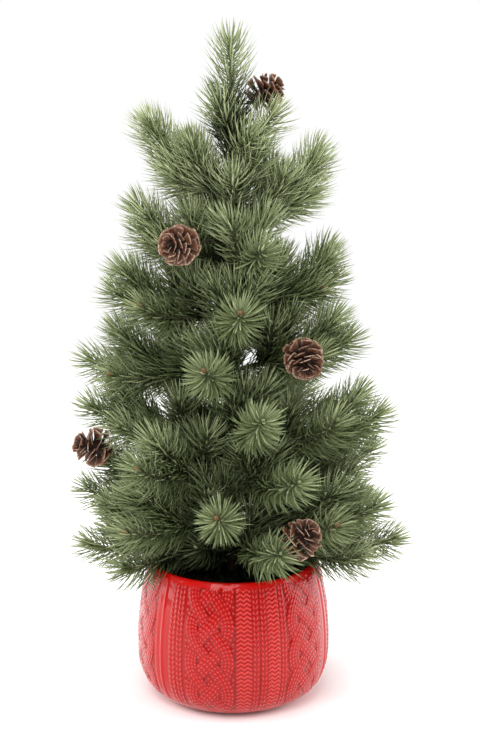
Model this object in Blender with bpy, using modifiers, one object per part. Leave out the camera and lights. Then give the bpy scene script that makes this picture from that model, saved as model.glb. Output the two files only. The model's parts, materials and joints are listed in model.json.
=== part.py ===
"""Artificial tabletop tree in a round ceramic pot, in metres, +Z up.

The origin is the centre of the pot's flat underside.  A steel rod stands in a cast
ballast and a foam block inside the pot.  Limbs are moulded sprays on bendable wires, and
the short upper twigs are moulded right up to the trunk.  A spray has three tips, but one
or two where it points to the front.  Each limb, twig, the leader and each cone bends at
its root, so its parent empty stands at that root.
"""

from math import cos, radians, sin

import bpy
from mathutils import Matrix, Quaternion, Vector

GAP = 0.0003            # clearance kept between touching pieces

# Pot
POT_HEIGHT = 0.127
BELLY_HEIGHT = 0.052    # height of the widest ring
BELLY_RADIUS = 0.087
MOUTH_RADIUS = 0.076
FOOT_RADIUS = 0.054
POT_WALL = 0.005
POT_FLOOR = 0.006
POT_CLEARANCE = 0.002   # between the pot's inner wall and what fills it
LIP_RADIUS = POT_WALL / 2
POT_STEPS = 40

# Filling
BALLAST_TOP = 0.030
FOAM_TOP = 0.106
COVER_THICK = 0.006

# Trunk
ROD_RADIUS = 0.003
WRAP_RADIUS = 0.0055
ROD_BOTTOM = 0.014
ROD_TOP = 0.472
WRAP_TOP = 0.468
LEADER_LIFT = 0.0009    # room for the leader's foot to tilt over the rod
ROOT_RADIUS = WRAP_RADIUS + 0.0020     # where limbs and twigs start, off the axis

# Limbs and twigs
WIRE_RADIUS = 0.0016
STEM_RADIUS = 0.0026
TIP_RADIUS = 0.0075     # core of one needle-clad tip
TWIG_TIP_RADIUS = 0.0065
FORK = 0.40             # the fork's place along the reach
SIDE_LENGTH = 0.86      # side tips against the middle tip
SPREAD = 38             # degrees between the middle tip and a side tip
TWIG_SPREAD = 30
SOCKET = 0.006          # bare wire ends this far before the fork
TIP_TWIST = 11          # degrees; keeps a tip's facets off its stem's

# Height at the trunk, heading, rise of the stem, rise of the tips, reach, roll of the fan.
# Headings turn from +X towards +Y; all angles are degrees.
LIMBS = (
    (0.136, 355, 7, 10, 0.165, 0),
    (0.139, 286, 15, 17, 0.146, 22),
    (0.137, 194, 8, 11, 0.152, -10),
    (0.139, 50, 8, 13, 0.150, 0),
    (0.141, 120, 8, 13, 0.150, 0),
    (0.170, 261, 13, 20, 0.140, -12),
    (0.160, 338, 10, 22, 0.158, 0),
    (0.172, 178, 9, 15, 0.152, 0),
    (0.162, 221, 9, 12, 0.140, -14),
    (0.198, 295, 13, 19, 0.145, 0),
    (0.190, 8, 13, 25, 0.150, 0),
    (0.208, 227, 12, 20, 0.138, -10),
    (0.192, 98, 10, 20, 0.150, 0),
    (0.246, 283, 14, 23, 0.145, 0),
    (0.227, 345, 15, 27, 0.158, -20),
    (0.234, 186, 15, 26, 0.152, 0),
    (0.234, 58, 12, 22, 0.150, 0),
)
TWIGS = (
    (0.290, 256, 16, 24, 0.135, 0),
    (0.294, 178, 9, 13, 0.148, 0),
    (0.274, 125, 12, 22, 0.145, 0),
    (0.337, 272, 18, 26, 0.120, 0),
    (0.303, 343, 15, 28, 0.130, 0),
    (0.344, 190, 16, 27, 0.128, 0),
    (0.318, 72, 14, 24, 0.130, 0),
    (0.356, 3, 17, 28, 0.112, 0),
    (0.388, 290, 20, 32, 0.100, 0),
    (0.394, 187, 22, 35, 0.105, 0),
    (0.380, 112, 20, 30, 0.104, 0),
    (0.432, 17, 26, 36, 0.102, 0),
    (0.454, 178, 28, 42, 0.086, 0),
)
THIN_TWIGS_FROM = 7     # twigs from this index on are slimmer and less spread

# Sprays without all three tips; tip 0 is the middle one, 1 the left one and 2 the right one
ALL_TIPS = (0, 1, 2)
FEWER_TIPS = {
    "limb_02": (0,),
    "limb_06": (0,),
    "limb_09": (0, 2),
    "limb_10": (0,),
    "limb_12": (0, 2),
    "limb_14": (0,),
    "twig_01": (0,),
    "twig_04": (0,),
    "twig_09": (0,),
}

# Leader: height of each tip's root on its stem, and the tip's end
LEADER_TIPS = (
    (0.480, (-0.003, 0.000, 0.610)),
    (0.490, (0.048, -0.006, 0.544)),
    (0.504, (-0.019, -0.020, 0.560)),
    (0.500, (-0.012, 0.040, 0.548)),
    (0.484, (0.022, -0.040, 0.524)),
)
LEADER_STEM_TOP = 0.520

# Cones: the piece that carries it, the cone's centre, and its axis (heading, rise)
CONE_LENGTH = 0.032
CONE_RADIUS = 0.0165
PICK_RADIUS = 0.0008
CONES = (
    ("leader", (0.029, 0.020, 0.545), 20, 35),
    ("trunk", (-0.046, -0.078, 0.423), 240, 5),
    ("twig_05", (0.060, -0.078, 0.326), 285, 30),
    ("limb_12", (-0.124, -0.034, 0.240), 205, 20),
    ("limb_02", (0.058, -0.110, 0.180), 330, 45),
    ("twig_07", (0.040, 0.097, 0.299), 80, 35),
)

# Name: colour, roughness, metallic
FINISHES = {
    "red_glaze": ((0.50, 0.018, 0.016, 1), 0.12, 0.0),
    "cement": ((0.42, 0.40, 0.37, 1), 0.95, 0.0),
    "green_foam": ((0.06, 0.13, 0.06, 1), 0.95, 0.0),
    "dark_moss": ((0.010, 0.011, 0.006, 1), 0.95, 0.0),
    "steel": ((0.45, 0.45, 0.46, 1), 0.40, 1.0),
    "brown_tape": ((0.035, 0.020, 0.014, 1), 0.80, 0.0),
    "green_needles": ((0.085, 0.120, 0.045, 1), 0.55, 0.0),
    "cone_wood": ((0.16, 0.085, 0.045, 1), 0.75, 0.0),
}


def clear_scene():
    for thing in list(bpy.data.objects):
        bpy.data.objects.remove(thing)


def new_collection(name):
    group = bpy.data.collections.new(name)
    bpy.context.scene.collection.children.link(group)
    return group


def make_materials():
    made = {}
    for name, (colour, roughness, metallic) in FINISHES.items():
        material = bpy.data.materials.new(name)
        material.use_nodes = True
        shader = material.node_tree.nodes["Principled BSDF"]
        shader.inputs["Base Color"].default_value = colour
        shader.inputs["Roughness"].default_value = roughness
        shader.inputs["Metallic"].default_value = metallic
        made[name] = material
    return made


def direction(heading, rise):
    """Unit vector at a heading from +X and a rise from level, both in degrees."""
    level = cos(radians(rise))
    return Vector((level * cos(radians(heading)), level * sin(radians(heading)), sin(radians(rise))))


class Bench:
    """Where parts and cutters are put, and what they are made of."""

    def __init__(self):
        self.parts = new_collection("artificial_tabletop_tree")
        self.cutters = new_collection("cutters")
        self.materials = make_materials()

    def place(self, part, finish, parent=None):
        self.parts.objects.link(part)
        part.data.materials.append(self.materials[finish])
        if parent is not None:
            part.parent = parent
            part.matrix_parent_inverse = Matrix.Translation(parent.location).inverted()
        return part

    def hide_cutter(self, cutter):
        self.cutters.objects.link(cutter)
        cutter.hide_render = True
        cutter.display_type = "WIRE"
        return cutter

    def joint_empty(self, name, where):
        empty = bpy.data.objects.new(name + "_joint", None)
        empty.location = where
        empty.empty_display_size = 0.01
        self.parts.objects.link(empty)
        return empty


def turned(name, profile, steps, sharp=50):
    """A closed turned shape about Z from (radius, height) points, top of its outer side first."""
    mesh = bpy.data.meshes.new(name)
    points = [(radius, 0.0, height) for radius, height in profile]
    mesh.from_pydata(points, [(i, i + 1) for i in range(len(points) - 1)], [])
    part = bpy.data.objects.new(name, mesh)
    screw = part.modifiers.new("Turn", "SCREW")
    screw.steps = steps
    screw.render_steps = steps
    screw.use_merge_vertices = True
    screw.merge_threshold = 0.00001
    smooth(mesh, sharp)
    return part


def smooth(mesh, sharp):
    mesh.shade_smooth()
    mesh.set_sharp_from_angle(angle=radians(sharp))


def between(part, start, end, twist=0):
    """Stand a shape made along +Z on start, pointing at end, turned by twist degrees."""
    part.location = start
    part.rotation_mode = "QUATERNION"
    aim = (Vector(end) - Vector(start)).to_track_quat("Z", "Y")
    part.rotation_quaternion = aim @ Quaternion((0, 0, 1), radians(twist))
    return part


def rod_between(name, start, end, radius, steps=8):
    """A plain round rod with flat ends."""
    length = (Vector(end) - Vector(start)).length
    part = turned(name, [(0, length), (radius, length), (radius, 0), (0, 0)], steps)
    return between(part, start, end)


def tip_between(name, start, end, radius):
    """The core of one needle-clad tip: full in its first half, narrowing to a blunt end."""
    length = (Vector(end) - Vector(start)).length
    shape = ((0.0, 1.0), (0.30, 0.97), (0.80, 0.72), (1.0, 0.38), (0.50, 0.0), (0.0, 0.0))
    part = turned(name, [(radius * r, length * z) for r, z in shape], 8)
    return between(part, start, end, TIP_TWIST)


def union(bench, part, others):
    for other in others:
        bench.hide_cutter(other)
        join = part.modifiers.new("Join", "BOOLEAN")
        join.operation = "UNION"
        join.object = other


def belly_radius(height):
    """Outer radius of the pot: a quarter ellipse below the belly and a flatter one above."""
    if height < BELLY_HEIGHT:
        drop = (BELLY_HEIGHT - height) / BELLY_HEIGHT
        return FOOT_RADIUS + (BELLY_RADIUS - FOOT_RADIUS) * (1 - drop ** 2.6) ** 0.5
    climb = (height - BELLY_HEIGHT) / (POT_HEIGHT - BELLY_HEIGHT)
    return BELLY_RADIUS - (BELLY_RADIUS - MOUTH_RADIUS) * climb ** 2


def pot_outside():
    heights = [POT_HEIGHT * f for f in (0.90, 0.76, 0.60, 0.41, 0.26, 0.15, 0.07, 0.02)]
    return [(belly_radius(z), z) for z in heights] + [(FOOT_RADIUS, 0.0), (0.0, 0.0)]


def pot_lip():
    """A half-round lip over the wall, from its inner to its outer side."""
    centre = MOUTH_RADIUS - LIP_RADIUS
    height = POT_HEIGHT - LIP_RADIUS
    angles = (180, 135, 90, 45, 0)
    return [(centre + LIP_RADIUS * cos(radians(a)), height + LIP_RADIUS * sin(radians(a)))
            for a in angles]


def inner_radius(height):
    return belly_radius(height) - POT_WALL


def pot_inside():
    heights = (0.012, 0.030, BELLY_HEIGHT, 0.080, 0.105)
    low = [(0.0, POT_FLOOR), (FOOT_RADIUS - 0.006, POT_FLOOR)]
    return low + [(inner_radius(z), z) for z in heights]


def make_pot(bench):
    profile = pot_inside() + pot_lip() + pot_outside()
    return bench.place(turned("pot", profile, POT_STEPS, sharp=60), "red_glaze")


def make_ballast(bench):
    """Cast plug in the bottom of the pot, with a blind hole for the rod."""
    hole = ROD_RADIUS + GAP
    bottom = POT_FLOOR + GAP
    profile = [(0.0, ROD_BOTTOM - GAP), (hole, ROD_BOTTOM - GAP), (hole, BALLAST_TOP)]
    profile += [(inner_radius(z) - POT_CLEARANCE, z) for z in (BALLAST_TOP, 0.020, 0.012)]
    profile += [(FOOT_RADIUS - 0.008, bottom), (0.0, bottom)]
    return bench.place(turned("ballast", profile, POT_STEPS), "cement")


def make_foam(bench):
    """Foam block that fills the belly and steadies the rod."""
    hole = ROD_RADIUS + GAP
    low = BALLAST_TOP + GAP
    sides = (FOAM_TOP, 0.080, BELLY_HEIGHT, low)
    profile = [(hole, low), (hole, FOAM_TOP)]
    profile += [(inner_radius(z) - POT_CLEARANCE, z) for z in sides]
    profile += [(hole, low)]
    return bench.place(turned("foam_block", profile, POT_STEPS), "green_foam")


def make_cover(bench):
    """Loose dark mat on the foam, with a hole round the trunk."""
    low = FOAM_TOP + GAP
    high = low + COVER_THICK
    hole = WRAP_RADIUS + GAP
    rim = inner_radius(high) - POT_CLEARANCE
    profile = [(hole, low), (hole, high - 0.001), (0.030, high), (rim - 0.004, high - 0.001),
               (rim, low + 0.002), (rim - 0.002, low), (hole, low)]
    return bench.place(turned("moss_cover", profile, POT_STEPS), "dark_moss")


def make_trunk(bench):
    rod = rod_between("trunk_rod", (0, 0, ROD_BOTTOM), (0, 0, ROD_TOP), ROD_RADIUS, 12)
    bench.place(rod, "steel")
    bore = ROD_RADIUS + GAP
    low = FOAM_TOP + GAP
    profile = [(bore, low), (bore, WRAP_TOP), (WRAP_RADIUS, WRAP_TOP), (WRAP_RADIUS, low), (bore, low)]
    return bench.place(turned("trunk_wrap", profile, 16), "brown_tape")


class Branch:
    """Lines of one limb or twig: its root, its fork and the ends of its tips."""

    def __init__(self, name, row, tip_radius, spread):
        height, heading, stem_rise, tip_rise, reach, roll = row
        self.tip_radius = tip_radius
        self.root = direction(heading, 0) * ROOT_RADIUS + Vector((0, 0, height))
        self.along = direction(heading, stem_rise)
        self.bend_axis = direction(heading - 90, 0)
        forward = direction(heading, tip_rise)
        side = Matrix.Rotation(radians(roll), 3, forward) @ direction(heading + 90, 0)
        length = reach - ROOT_RADIUS
        self.fork = self.root + self.along * length * FORK
        tip = length * (1 - FORK)
        ahead = forward * cos(radians(spread))
        across = side * sin(radians(spread))
        ends = (self.fork + forward * tip,
                self.fork + (ahead + across) * tip * SIDE_LENGTH,
                self.fork + (ahead - across) * tip * SIDE_LENGTH)
        self.ends = [ends[i] for i in FEWER_TIPS.get(name, ALL_TIPS)]

    def wire_end(self):
        return self.fork - self.along * SOCKET

    def spray(self, bench, name, stem_start):
        """One moulded spray: a stem up to the fork and a tip towards each end."""
        stem = rod_between(name, stem_start, self.fork + self.along * 0.004, STEM_RADIUS)
        tips = [tip_between(f"{name}_tip{i}", self.fork, end, self.tip_radius)
                for i, end in enumerate(self.ends)]
        union(bench, stem, tips)
        return stem

    def foot_near(self, point):
        """The place on this branch's surface that is nearest to a point."""
        best = None
        for end in self.ends:
            line = end - self.fork
            share = max(0.15, min(0.85, (point - self.fork).dot(line) / line.length_squared))
            spot = self.fork + line * share
            if best is None or (point - spot).length < (point - best).length:
                best = spot
        return best + (point - best).normalized() * (self.tip_radius + 2 * GAP)


def limb_branches():
    made = {}
    for i, row in enumerate(LIMBS, 1):
        name = f"limb_{i:02d}"
        made[name] = Branch(name, row, TIP_RADIUS, SPREAD)
    return made


def twig_branches():
    made = {}
    for i, row in enumerate(TWIGS):
        thin = i >= THIN_TWIGS_FROM
        radius = TWIG_TIP_RADIUS if thin else TIP_RADIUS
        name = f"twig_{i + 1:02d}"
        made[name] = Branch(name, row, radius, TWIG_SPREAD if thin else SPREAD)
    return made


def make_limbs(bench, branches):
    for name, branch in branches.items():
        number = name[-2:]
        joint = bench.joint_empty(name, branch.root)
        wire = rod_between("limb_wire_" + number, branch.root, branch.wire_end(), WIRE_RADIUS)
        bench.place(wire, "brown_tape", joint)
        start = branch.wire_end() + branch.along * GAP
        bench.place(branch.spray(bench, "limb_spray_" + number, start), "green_needles", joint)


def make_twigs(bench, branches):
    for name, branch in branches.items():
        joint = bench.joint_empty(name, branch.root)
        spray = branch.spray(bench, "twig_spray_" + name[-2:], branch.root)
        bench.place(spray, "green_needles", joint)


def leader_root():
    return Vector((0, 0, ROD_TOP + LEADER_LIFT))


def make_leader(bench):
    root = leader_root()
    joint = bench.joint_empty("leader", root)
    stem = rod_between("leader_spray", root, (0, 0, LEADER_STEM_TOP), STEM_RADIUS)
    tips = [tip_between(f"leader_tip{i}", (0, 0, height), end, TWIG_TIP_RADIUS)
            for i, (height, end) in enumerate(LEADER_TIPS)]
    union(bench, stem, tips)
    return bench.place(stem, "green_needles", joint)


def post_foot(point, radius):
    """The place on an upright post that is level with a point."""
    spot = Vector((0, 0, point.z))
    return spot + (point - spot).normalized() * (radius + 2 * GAP)


def cone_places(branches):
    """Each cone's name with its base, its axis and the foot of its wire pick."""
    posts = {"leader": TWIG_TIP_RADIUS, "trunk": WRAP_RADIUS}
    places = {}
    for i, (carrier, centre, heading, rise) in enumerate(CONES, 1):
        axis = direction(heading, rise)
        base = Vector(centre) - axis * CONE_LENGTH / 2
        if carrier in posts:
            foot = post_foot(base, posts[carrier])
        else:
            foot = branches[carrier].foot_near(base)
        places[f"cone_{i}"] = (base, axis, foot)
    return places


def make_cones(bench, branches):
    shape = ((0.0, 1.0), (0.35, 0.95), (0.80, 0.72), (1.0, 0.42), (0.80, 0.14), (0.35, 0.0), (0.0, 0.0))
    profile = [(CONE_RADIUS * r, CONE_LENGTH * z) for r, z in shape]
    for name, (base, axis, foot) in cone_places(branches).items():
        joint = bench.joint_empty(name, foot)
        cone = between(turned(name, profile, 12), base, base + axis)
        pick = rod_between(name + "_pick", foot, base + axis * 0.003, PICK_RADIUS, 6)
        union(bench, cone, [pick])
        bench.place(cone, "cone_wood", joint)


def main():
    clear_scene()
    bench = Bench()
    make_pot(bench)
    make_ballast(bench)
    make_foam(bench)
    make_cover(bench)
    make_trunk(bench)
    limbs = limb_branches()
    twigs = twig_branches()
    make_limbs(bench, limbs)
    make_twigs(bench, twigs)
    make_leader(bench)
    make_cones(bench, {**limbs, **twigs})


main()
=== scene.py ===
"""Looks of an artificial tabletop tree in a knit-pattern ceramic pot, built round its CAD frame.

The frame gives each body's place.  Needle sprays, cones, tape, moss and the pot's knit relief
are modelled here and ride on those bodies.  Run it as a script; lengths are metres, +Z is up
and the front faces -Y.
"""

import json
from math import cos, pi, radians, sin, tau

import bpy
import numpy as np
from bpy.props import FloatProperty, FloatVectorProperty, IntProperty, PointerProperty
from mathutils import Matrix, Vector


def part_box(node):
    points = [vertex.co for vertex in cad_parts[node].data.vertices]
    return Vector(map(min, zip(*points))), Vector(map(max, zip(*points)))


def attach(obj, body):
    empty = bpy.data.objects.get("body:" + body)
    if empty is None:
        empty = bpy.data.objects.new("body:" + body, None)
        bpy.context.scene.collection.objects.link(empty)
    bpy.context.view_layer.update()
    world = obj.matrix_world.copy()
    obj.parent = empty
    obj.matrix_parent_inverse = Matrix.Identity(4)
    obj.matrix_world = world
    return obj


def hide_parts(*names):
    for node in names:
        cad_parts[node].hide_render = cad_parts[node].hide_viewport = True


bl_info = {
    "name": "Tabletop tree dressing",
    "version": (1, 0, 0),
    "blender": (4, 5, 0),
    "location": "View3D > Sidebar > Tree",
    "description": "Dresses the CAD frame of an artificial tabletop tree",
    "category": "Object",
}

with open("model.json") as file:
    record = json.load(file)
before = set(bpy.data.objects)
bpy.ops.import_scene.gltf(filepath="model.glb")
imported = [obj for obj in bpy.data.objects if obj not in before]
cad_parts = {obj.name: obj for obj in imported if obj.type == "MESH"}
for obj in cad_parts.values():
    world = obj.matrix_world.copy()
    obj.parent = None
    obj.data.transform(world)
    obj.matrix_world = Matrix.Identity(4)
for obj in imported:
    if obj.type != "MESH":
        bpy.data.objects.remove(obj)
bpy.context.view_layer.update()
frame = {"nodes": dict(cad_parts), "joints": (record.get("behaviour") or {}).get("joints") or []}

GOLDEN_DEGREES = 137.508
GOLDEN_ANGLE = radians(GOLDEN_DEGREES)
UP = Vector((0, 0, 1))

# Sprays: how the frame's tips are laid out
SIDE_LENGTH = 0.86          # side tips against the middle tip
SPREAD = 38                 # degrees between the middle tip and a side tip
THIN_SPREAD = 30
THIN_TWIGS_FROM = 8         # twigs from this number on are slimmer and less spread
FEWER_TIPS = {"limb_02": 1, "limb_06": 1, "limb_09": 2, "limb_10": 1, "limb_12": 2, "limb_14": 1,
              "twig_01": 1, "twig_04": 1, "twig_09": 1}
LONE_FORK = 0.40            # where a lone tip starts, as a share of its twig
TIP_CLEAR = 0.018           # no two tips end closer than this
CROWN = 0.016               # length over which a tip's last needles close in
CROWN_SHUT = 0.50           # by this share of their lean
CROWN_SHORT = 0.34          # and get shorter by this share
NEEDLE_THIN = 0.62          # thickness of a needle against its width
SHOOT_LENGTH = 0.064        # filling shoots near the trunk
TRUNK_SHOOTS = (0.121, 0.123, 0.126, 0.129, 0.134, 0.142, 0.156, 0.178, 0.205, 0.232, 0.255,
                0.278, 0.300, 0.322, 0.345, 0.365, 0.383, 0.400, 0.412, 0.422, 0.432, 0.440,
                0.447, 0.452)
TRUNK_SHOOT_RISES = ((0.120, 0.150, 0.200, 0.420), (12, 30, 52, 64))   # heights, degrees

# Places on a spray's stem, as shares of it
INNER_SHOOTS = (0.25, 0.60)  # its three filling shoots
RISER = 0.95                # its two longer rising shoots
TIP_ROOTS = (0.85, 0.42, 0.52)  # its tips

DARK_CORE = 0.115           # at the foot of the tree, needles nearer to the trunk than this get painted shade; at this height none do
CORE_TOP = 0.56             # older and darker; at this height none are
CORE_SHADE = 0.9              # how far their colour goes to the painted shade colour
PALE_FROM = 0.36            # needles get paler from this height up to the next
PALE_TOP = 0.47
PALEST = 1.25               # freshness of the needles above that
TIP_SHORT = 0.020           # a tip's stem ends this far before its needles' ends

# Leader: height of each tip's root on its stem, and the tip's end
LEADER_ROOT = 0.473
LEADER_STEM_TOP = 0.520
LEADER_TIPS = (
    (0.480, (-0.003, 0.000, 0.610)),
    (0.490, (0.048, -0.006, 0.544)),
    (0.504, (-0.019, -0.020, 0.560)),
    (0.500, (-0.012, 0.040, 0.548)),
    (0.484, (0.022, -0.040, 0.524)),
)

# Cones: centre, and the axis from base to point as heading and rise in degrees
CONES = (
    ((0.029, 0.020, 0.545), 20, 35),
    ((-0.046, -0.078, 0.423), 240, 5),
    ((0.060, -0.078, 0.326), 285, -35),
    ((-0.124, -0.034, 0.240), 205, 20),
    ((0.058, -0.110, 0.180), 330, 45),
    ((0.040, 0.097, 0.299), 80, 35),
)
CONE_LENGTH = 0.032
PICK_RADIUS = 0.0008
PICK_DEPTH = 0.004          # how far a pick goes into its cone

# Trunk and wires
WRAP_RADIUS = 0.0055
WRAP_BORE = 0.0033
WIRE_RADIUS = 0.0016
WIRE_SHORT = 0.006          # a limb's bare wire ends this far before the fork

# Pot, as in the frame
POT_HEIGHT = 0.127
BELLY_HEIGHT = 0.052
BELLY_RADIUS = 0.087
MOUTH_RADIUS = 0.076
FOOT_RADIUS = 0.054
POT_WALL = 0.005
POT_FLOOR = 0.006           # height of the floor inside
LIP_START = 0.1245
WALL_ROWS = 142             # mesh rows up the outer wall
LIP_STEPS = 9               # the round lip is this many steps from outside to inside


# ---------------------------------------------------------------- settings

def length(name, description, default, low=0.0, high=1.0):
    return FloatProperty(name=name, description=description, default=default,
                         min=low, max=high, unit="LENGTH", precision=4)


def colour(name, description, default):
    return FloatVectorProperty(name=name, description=description, default=(*default, 1.0),
                               size=4, min=0.0, max=1.0, subtype="COLOR")


class NeedleSettings(bpy.types.PropertyGroup):
    """Moulded needles and their stems."""

    length: length("Needle length", "Length of a full needle", 0.030)
    width: length("Needle width", "Width of a needle at its middle", 0.0014)
    spacing: length("Needle spacing", "Length of stem for each needle", 0.00039)
    lean: FloatProperty(name="Needle lean", description="Angle between a needle's foot and its stem",
                        default=radians(68), subtype="ANGLE")
    stem: length("Stem radius", "Radius of a spray's stem", 0.0017)
    bow: length("Tip bow", "How far a tip bows down between its ends", 0.007)
    # Painted shade: the colour at a needle's foot and on the needles deep inside the tree
    shade: colour("Old needles", "Colour at a needle's foot", (0.016, 0.026, 0.008))
    green: colour("Needles", "Colour of most needles", (0.080, 0.112, 0.032))
    frost: colour("Young needles", "Pale colour of young needles", (0.420, 0.470, 0.260))
    bark: colour("Stems", "Colour of the moulded stems", (0.150, 0.165, 0.085))
    bud: colour("Buds", "Colour of the small end buds", (0.120, 0.060, 0.025))


class ConeSettings(bpy.types.PropertyGroup):
    """Natural pine cones."""

    scales: IntProperty(name="Scales", description="Scales on one cone", default=50,
                        min=20, max=120)
    scale_length: length("Scale length", "Length of the longest scale", 0.0144)
    scale_width: length("Scale width", "Width of the widest scale", 0.0118)
    # Painted shade: the colour deep between the scales and on the spindle
    dark: colour("Shade between scales", "Colour deep between the scales", (0.012, 0.005, 0.003))
    brown: colour("Scale wood", "Colour of a scale's outer side", (0.135, 0.043, 0.017))
    rim: colour("Scale rims", "Pale edge of a scale", (0.620, 0.450, 0.330))


class PotSettings(bpy.types.PropertyGroup):
    """Glazed ceramic pot with knit relief."""

    depth: length("Relief depth", "Height of the plait over the ground", 0.0013)
    stitch: length("Stitch depth", "Height of single stitches", 0.0006)
    columns: IntProperty(name="Columns", description="Mesh columns round the pot",
                         default=640, min=60, max=900)
    glaze: colour("Glaze", "Colour of the red glaze", (0.490, 0.0025, 0.0015))
    # Glaze pooling and also painted shade in the grooves and between the stitches
    deep_glaze_and_shade: colour("Deep glaze and shade", "Colour where the glaze pools", (0.330, 0.001, 0.001))
    # Thin glaze and also a painted highlight on the top of every stitch
    thin_glaze_and_highlight: colour("Thin glaze and highlight", "Colour on the raised stitches", (0.660, 0.050, 0.042))
    roughness: FloatProperty(name="Glaze roughness", description="Roughness under the clear coat",
                             default=0.32, min=0.0, max=1.0, subtype="FACTOR")


class StageSettings(bpy.types.PropertyGroup):
    """Floor, lights and camera."""

    distance: length("Camera distance", "Level distance from the trunk to the camera", 1.4, high=10)
    height: length("Camera height", "Height of the camera", 0.59, high=10)
    aim: length("Aim height", "Height that the camera looks at", 0.303, high=10)
    aside: length("Aim aside", "How far to the right of the trunk it looks", 0.006)
    lens: FloatProperty(name="Lens", description="Focal length", default=78.3, min=20, max=300,
                        unit="CAMERA")
    floor: colour("Floor", "Colour of the plain floor", (1.0, 1.0, 1.0))


# ---------------------------------------------------------------- shading

class Socket:
    """A shader socket that can be added, multiplied and compared like a number."""

    def __init__(self, finish, plug):
        self.finish = finish
        self.plug = plug

    def maths(self, operation, *others):
        return self.finish.node("ShaderNodeMath", {"operation": operation},
                                dict(enumerate((self, *others))))

    def __add__(self, other):
        return self.maths("ADD", other)

    def __mul__(self, other):
        return self.maths("MULTIPLY", other)

    def __sub__(self, other):
        return self.maths("SUBTRACT", other)

    def __rsub__(self, other):
        return self.finish.node("ShaderNodeMath", {"operation": "SUBTRACT"}, {0: other, 1: self})

    def __pow__(self, other):
        return self.maths("POWER", other)

    __radd__ = __add__
    __rmul__ = __mul__

    def wave(self):
        """A smooth wave from 0 to 1, at 1 on whole turns."""
        return (self * tau).maths("COSINE") * 0.5 + 0.5

    def band(self, low, high):
        """0 below low, 1 above high, smooth between; low may be the greater."""
        return self.finish.node("ShaderNodeMapRange", {"interpolation_type": "SMOOTHSTEP"},
                                {"Value": self, "From Min": low, "From Max": high})


class Finish:
    """A procedural material under construction."""

    def __init__(self, name, **constants):
        self.material = bpy.data.materials.new(name)
        self.material.use_nodes = True
        self.tree = self.material.node_tree
        self.shader = self.tree.nodes["Principled BSDF"]
        for socket, value in constants.items():
            self.shader.inputs[socket.replace("_", " ")].default_value = value

    def node(self, kind, settings=None, sockets=None, output=0):
        """Add one node; its settings come first, then values or links for its sockets."""
        made = self.tree.nodes.new(kind)
        for setting, value in (settings or {}).items():
            setattr(made, setting, value)
        for key, value in (sockets or {}).items():
            self.plug(made.inputs[key], value)
        return Socket(self, made.outputs[output])

    def plug(self, socket, value):
        if isinstance(value, Socket):
            self.tree.links.new(value.plug, socket)
        else:
            socket.default_value = value

    def place(self):
        return self.node("ShaderNodeTexCoord", output="Object")

    def mark(self, name):
        """A value that the mesh carries at its points."""
        return self.node("ShaderNodeAttribute", {"attribute_name": name}, output="Fac")

    def noise(self, scale, detail=3.0, roughness=0.55, where=None):
        return self.node("ShaderNodeTexNoise", None,
                         {"Vector": where or self.place(), "Scale": scale, "Detail": detail,
                          "Roughness": roughness}, output="Fac")

    def cells(self, scale):
        """Distance from the middle of the nearest of many small cells."""
        return self.node("ShaderNodeTexVoronoi", None, {"Vector": self.place(), "Scale": scale},
                         output="Distance")

    def stretched(self, along):
        """Object coordinates with the upright one multiplied."""
        return self.node("ShaderNodeVectorMath", {"operation": "MULTIPLY"},
                         {0: self.place(), 1: (1, 1, along)})

    def mix(self, factor, first, second):
        return self.node("ShaderNodeMix", {"data_type": "RGBA"},
                         {0: factor, 6: first, 7: second}, output=2)

    def bump(self, height, distance):
        return self.node("ShaderNodeBump", None, {"Height": height, "Distance": distance},
                         output="Normal")

    def feed(self, **links):
        for socket, value in links.items():
            self.plug(self.shader.inputs[socket.replace("_", " ")], value)
        return self.material

    def surface(self, base, roughness, relief, depth):
        """Feed the shader its colour, its roughness and a fine relief of some depth."""
        return self.feed(Base_Color=base, Roughness=roughness, Normal=self.bump(relief, depth))


def needle_finish(needles):
    """Soft moulded plastic: painted shade at the foot and on inner needles, paler to the end, each needle
    its own tone.
    """
    finish = Finish("moulded_needles", Roughness=0.5, Specular_IOR_Level=0.18)
    along, tone, fresh = (finish.mark(name) for name in ("along", "tone", "fresh"))
    patches = finish.noise(22.0)
    # painted shade at each needle's foot, less on the young needles near a tip's end
    foot = along.band(0.45, 0.0) * (1.0 - fresh)
    green = finish.mix(foot, tuple(needles.green), tuple(needles.shade))
    pale = (along * 0.38 + fresh * 0.50) * (tone * 1.1 + 0.25) * (patches * 0.8 + 0.55)
    base = finish.mix(pale, green, tuple(needles.frost))
    # painted shade on the needles near the trunk and along the sprays' own stems
    worn = finish.mix(finish.mark("age"), base, tuple(needles.shade))
    streaks = finish.noise(900.0, 1.0)
    return finish.feed(Base_Color=worn, Roughness=streaks * 0.25 + 0.40)


def stem_finish(needles):
    """Ribbed green-brown plastic stem with brown leaf scars."""
    finish = Finish("moulded_stem", Specular_IOR_Level=0.3)
    scars = finish.cells(420.0).band(0.45, 0.10)
    base = finish.mix(scars, tuple(needles.bark), tuple(needles.bud))
    return finish.surface(base, 0.65 - scars * 0.15, scars, 0.0004)


def bud_finish(needles):
    """Small scaly bud: dry and brown, or still green."""
    finish = Finish("dry_bud", Specular_IOR_Level=0.3)
    flakes = finish.noise(1400.0, 2.0)
    brown = finish.mix(flakes, tuple(needles.bud), (0.30, 0.18, 0.09, 1))
    green = finish.mix(flakes, tuple(needles.frost), tuple(needles.green))
    base = finish.mix(finish.mark("tone"), green, brown)
    return finish.surface(base, flakes * 0.3 + 0.5, flakes, 0.0003)


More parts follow.
